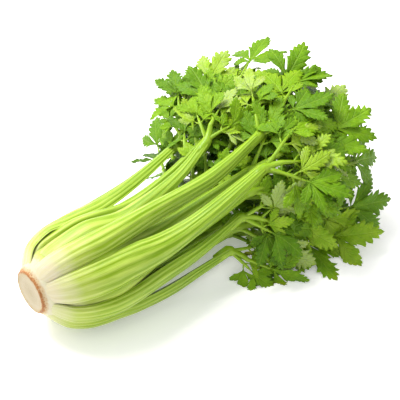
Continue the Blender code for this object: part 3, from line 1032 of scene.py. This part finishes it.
@dataclass(frozen=True)
class Leaf:
    """The compound leaf of one stalk: a rachis with stemmed side leaflets and an end leaflet."""

    name: str
    bend: Place
    end: Place
    size: float
    pairs: int
    lean: float
    # how pale its blades are, set for how lit the spray lies: low tones are painted shade, high ones a
    # painted sheen
    tone: float
    back_lean: float = -0.55
    # the size of the blades at the stalk's joint, against the others
    joint_size: float = 1.0
    # pairs of branches before the joint, and the way between them
    early_pairs: int = 0
    early_step: float = 17.0
    steps: int = 18
    # how far inside the stalk's end its first points lie
    root_steps: Place = (16.0, 8.0, 1.0)
    thickest: float = 5.2
    thinnest: float = 1.2
    taper: float = 0.42
    tone_steps: tuple[float, ...] = (-0.35, -0.2, -0.05, 0.05, 0.2, 0.42)

    @property
    def parent(self) -> Stalk:
        """The stalk that it grows from."""
        return next(stalk for stalk in STALKS if stalk.name == self.name.replace("leaf", "stalk"))

    def upper(self) -> Vector:
        """Give the direction that the upper sides of the blades face."""
        lean = math.radians(self.lean)
        return Vector((self.back_lean, math.sin(lean), math.cos(lean))).normalized()

    def path(self) -> list[Vector]:
        """Lay the rachis as two curves that meet in its middle.

        Returns:
            Points along it, from inside its stalk's end.
        """
        stalk, tip_x = self.parent, self.parent.tip_x
        spine_y, spine_z = stalk.spine()
        outward = Vector((0, spine_y.at(tip_x) - AXIS_Y.at(tip_x), spine_z.at(tip_x) - AXIS_Z.at(tip_x)))
        sink = outward.normalized() * (stalk.tip_thickness * 0.8)
        root = [Vector((x, spine_y.at(x), spine_z.at(x))) - sink
                for x in (tip_x - inside for inside in self.root_steps)]
        heading = (root[2] - root[1]).normalized()
        start, bend, end = root[2], Vector(self.bend), Vector(self.end)
        middle = bend.lerp(end, 0.5)
        lead = start.lerp(bend, 0.5) + heading * 3
        points = root[:2]
        for i in range(self.steps + 1):
            t = i / self.steps * 2
            a, b, c, u = (start, lead, bend, t) if t <= 1 else (bend, middle, end, t - 1)
            points.append(a * (1 - u) ** 2 + b * (2 * u * (1 - u)) + c * u**2)
        return points

    def build(self, site: Site, materials: list[Material], seed: int) -> Object:
        """Make the leaf.

        Args:
            site: Where the millimetres lie.
            materials: The blade's upper side, its under side and the stem.
            seed: The seed of its random numbers.

        Returns:
            The leaf's object.
        """
        piece = Piece(seed)
        path = self.path()
        last = len(path) - 1
        root = min(self.parent.tip_width / 2, self.thickest)
        radii = [root * 0.85, root * 0.97, root]
        radii += [root - (root - self.thinnest) * (i / (last - 3)) ** self.taper for i in range(last - 2)]
        piece.add_tube(path, radii, 0.5, 2, 10)
        self.add_leaflet(piece, path[-1], path[-1] - path[-3], self.size, 0, 4.0, 1.3)
        for pair in range(self.pairs):
            i = last - 4 - round(pair * (last - 7) / max(self.pairs, 2))
            ahead = path[i + 1] - path[i - 1]
            for side in (-1, 1):
                size = self.size * (0.95 - 0.06 * pair) * piece.rng.uniform(0.9, 1.12)
                stem = self.size * (0.12 + 0.16 * pair)
                self.add_leaflet(piece, path[i], ahead, size, side, stem, 1.4)
        back = (path[0] - path[2]).normalized() * self.early_step
        for early in range(self.early_pairs + 1):
            for side in (-1, 1):
                self.add_branch(piece, path[3] + back * early, path[4] - path[2], side)
        return piece.finish(f"{self.name}_spray", site, materials, "leaf_blade", self.name)

    def add_branch(self, piece: Piece, root: Vector, ahead: Vector, side: int) -> None:
        """Grow one stemmed group of three leaflets from the stalk's joint.

        Args:
            piece: The leaf's piece.
            root: Where its stem leaves the rachis.
            ahead: The rachis's direction there.
            side: -1 or 1 for its side of the rachis.
        """
        rng, upper = piece.rng, self.upper()
        turn = Matrix.Rotation(math.radians(side * rng.uniform(30, 50)), 3, upper)
        lift = upper * rng.uniform(-0.1, 0.35)
        heading = (turn @ ahead.normalized() + lift).normalized()
        length = self.size * self.joint_size * rng.uniform(0.55, 0.85)
        end = root + heading * length + ahead.normalized() * length * 0.15
        path = [root.lerp(end, t) + upper * (math.sin(math.pi * t) * length * 0.06)
                for t in (0, 0.25, 0.5, 0.75, 1)]
        piece.add_tube(path, [2.6, 2.0, 1.7, 1.5, 1.3], 0.5, 2)
        for way in (0, -1, 1):
            size = self.size * self.joint_size * (0.85 if way == 0 else 0.6) * rng.uniform(0.85, 1.1)
            stem = 3.0 if way == 0 else size * 0.18
            seat = path[-1] if way == 0 else path[-2]
            self.add_leaflet(piece, seat, path[-1] - path[-3], size, way, stem, 1.2)

    def add_leaflet(self, piece: Piece, root: Vector, ahead: Vector, size: float, side: int,
                    stem: float, radius: float) -> None:
        """Grow one leaflet on its own short stem.

        Args:
            piece: The leaf's piece.
            root: Where its stem leaves the rachis.
            ahead: The rachis's direction there.
            size: The blade's length.
            side: -1 or 1 for a side leaflet, 0 for an end one.
            stem: The stem's length.
            radius: The stem's radius at its foot.
        """
        rng, upper = piece.rng, self.upper()
        ahead = ahead.normalized()
        out = Matrix.Rotation(math.radians(side * rng.uniform(42, 62)), 3, upper) @ ahead
        base = root + out * stem
        heading = (out + ahead * (0.25 * abs(side))).normalized()
        tilt = Matrix.Rotation(math.radians(rng.uniform(-28, 28) + 12 * side), 3, heading)
        pitch = Matrix.Rotation(math.radians(rng.uniform(-18, 22)), 3, heading.cross(upper))
        heading = pitch @ heading
        frame = frame_at(base, heading, tilt @ upper)
        # painted shade and sheen: the spray's tone, moved by a random step for each blade
        tone = self.tone + rng.choice(self.tone_steps)
        Leaflet(size).grow(piece, frame, min(1.0, max(0.0, tone)))
        under_blade = frame @ (Vector((0, 0.12, -0.03)) * size)
        rib = [root, root.lerp(base, 0.5), base, under_blade]
        piece.add_tube(rib, [radius, radius * 0.8, radius * 0.65, 0.3], 0.6, 2, 6)


# each spray's tone, after its lean, paints light: low tones for sprays in shade, high ones for a painted
# sheen on lit sprays
LEAVES = (
    Leaf("outer_leaf_1", (199, -62, 21), (211, -74, 14), 35, 1, -35, 0.55),
    Leaf("outer_leaf_2", (217, -60, 60), (233, -70, 52), 42, 2, -50, 0.55),
    Leaf("outer_leaf_3", (246, -52, 108), (266, -58, 103), 52, 1, -35, 0.65),
    Leaf("outer_leaf_4", (278, -8, 126), (310, 8, 131), 44, 2, -10, 0.5),
    Leaf("outer_leaf_5", (225, 76, 95), (236, 92, 101), 33, 1, -10, 0.5, joint_size=0.7),
    Leaf("outer_leaf_6", (234, 74, 81), (266, 88, 105), 42, 2, 0, 0.45, joint_size=0.6),
    Leaf("outer_leaf_7", (202, 70, 33), (212, 94, 47), 36, 1, 30, 0.25),
    Leaf("outer_leaf_8", (246, -36, 9), (286, -76, 12), 46, 2, -20, 0.72),
    Leaf("middle_leaf_1", (250, -60, 46), (304, -78, 40), 46, 2, -38, 0.72),
    Leaf("middle_leaf_2", (264, -58, 84), (320, -64, 78), 46, 2, -40, 0.55),
    Leaf("middle_leaf_3", (268, -38, 104), (310, -42, 106), 48, 2, -20, 0.45),
    Leaf("middle_leaf_4", (222, 24, 117), (234, 30, 121), 32, 1, -20, 0.7),
    Leaf("middle_leaf_5", (266, 50, 115), (308, 74, 122), 48, 3, -5, 0.4,
         joint_size=0.7, early_pairs=2),
    Leaf("middle_leaf_6", (254, 68, 75), (298, 94, 77), 46, 2, 30, 0.3,
         joint_size=0.6, early_pairs=2),
    Leaf("middle_leaf_7", (250, 52, 35), (292, 78, 31), 44, 2, 30, 0.15,
         joint_size=0.7, early_pairs=1),
    Leaf("middle_leaf_8", (256, -8, 22), (310, -16, 18), 44, 2, -10, 0.75),
    Leaf("heart_leaf_1", (262, -26, 81), (322, -12, 98), 46, 2, -15, 0.75),
    Leaf("heart_leaf_2", (252, 16, 106), (310, 26, 123), 48, 3, -10, 0.35,
         joint_size=0.6, early_pairs=2),
    Leaf("heart_leaf_3", (262, 38, 77), (318, 50, 93), 46, 2, 15, 0.25,
         joint_size=0.6, early_pairs=2),
    Leaf("heart_leaf_4", (260, 6, 53), (318, 16, 59), 44, 2, 0, 0.25,
         joint_size=0.7, early_pairs=1),
)


# ---- stage


@dataclass(frozen=True)
class Lamp:
    """One square soft light: its side (azimuth, elevation), size and distance in metres, and watts."""

    name: str
    side: tuple[float, float]
    size: float
    distance: float
    power: float
    colour: str


@dataclass(frozen=True)
class Studio:
    """A white ground, soft light from above and behind, and the camera."""

    side: tuple[float, float] = (-38.0, 40.0)
    distance: float = 1.06
    lens: float = 100.0
    sensor: float = 36.0
    target: Place = (195.07, 5.35, 51.41)
    lamps: tuple[Lamp, ...] = (
        Lamp("key", (-160, 60), 0.7, 1.3, 31, "#fffdf6"), Lamp("fill", (-80, 35), 1.6, 1.6, 3, "#ffffff"))
    sky: float = 0.82
    ground: float = 8.0
    ground_colour: str = "#f6f6f5"
    ground_glow: float = 0.24

    def build(self, site: Site) -> None:
        """Make the ground, the lights and the camera.

        Args:
            site: Where the millimetres lie.
        """
        self.add_ground()
        target = site.place(self.target)
        for lamp in self.lamps:
            light = bpy.data.lights.new(lamp.name, "AREA")
            light.size, light.energy = lamp.size, lamp.power
            light.color = linear(lamp.colour)[:3]
            self.stand(light, target, lamp.side, lamp.distance)
        scene = bpy.context.scene
        scene.world = bpy.data.worlds.new("studio")
        scene.world.use_nodes = True
        sky = scene.world.node_tree.nodes["Background"]
        sky.inputs["Color"].default_value = (1, 1, 1, 1)
        sky.inputs["Strength"].default_value = self.sky
        scene.view_settings.view_transform = "Standard"
        camera = bpy.data.cameras.new("camera")
        camera.lens, camera.sensor_width = self.lens, self.sensor
        camera.clip_start, camera.clip_end = 0.05, 50
        scene.camera = self.stand(camera, target, self.side, self.distance)

    @staticmethod
    def stand(data: ID, target: Vector, side: tuple[float, float],
              distance: float) -> Object:
        """Stand a light or the camera beside the head and face it.

        Args:
            data: The light or camera.
            target: What it faces.
            side: Its azimuth and elevation from there, in degrees.
            distance: How far off it stands, in metres.

        Returns:
            Its object.
        """
        azimuth, elevation = (math.radians(angle) for angle in side)
        back = Vector((math.sin(azimuth) * math.cos(elevation), -math.cos(azimuth) * math.cos(elevation),
                       math.sin(elevation)))
        obj = bpy.data.objects.new(data.name, data)
        bpy.context.scene.collection.objects.link(obj)
        obj.location = target + back * distance
        obj.rotation_mode = "QUATERNION"
        obj.rotation_quaternion = (-back).to_track_quat("-Z", "Y")
        return obj

    def add_ground(self) -> None:
        """Lay the white ground."""
        bm = bmesh.new()
        bmesh.ops.create_grid(bm, x_segments=1, y_segments=1, size=self.ground / 2)
        mesh = bpy.data.meshes.new("ground")
        bm.to_mesh(mesh)
        bm.free()
        material, _, shader = start_material("studio_paper_white")
        shader.inputs["Base Color"].default_value = linear(self.ground_colour)
        shader.inputs["Roughness"].default_value = 0.9
        shader.inputs["Emission Color"].default_value = (1, 1, 1, 1)
        shader.inputs["Emission Strength"].default_value = self.ground_glow
        mesh.materials.append(material)
        obj = bpy.data.objects.new("ground", mesh)
        bpy.context.scene.collection.objects.link(obj)


STALK_SEED = 100
LEAF_SEED = 500


def main() -> None:
    """Build the head and its stage, and report each piece."""
    logging.basicConfig(level=logging.INFO, format="%(name)s: %(message)s")
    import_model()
    site = Site.from_frame()
    skin = StalkSkin().build()
    root = RootPlate()
    root.build(site, RootFlesh().build(site.place(root.centre)))
    for i, stalk in enumerate(STALKS):
        stalk.build(site, skin, STALK_SEED + i)
    blades = [side.value.build() for side in BladeSide]
    for i, leaf in enumerate(LEAVES):
        leaf.build(site, [*blades, skin], LEAF_SEED + i)
    Studio().build(site)
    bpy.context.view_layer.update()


if __name__ == "__main__":
    main()
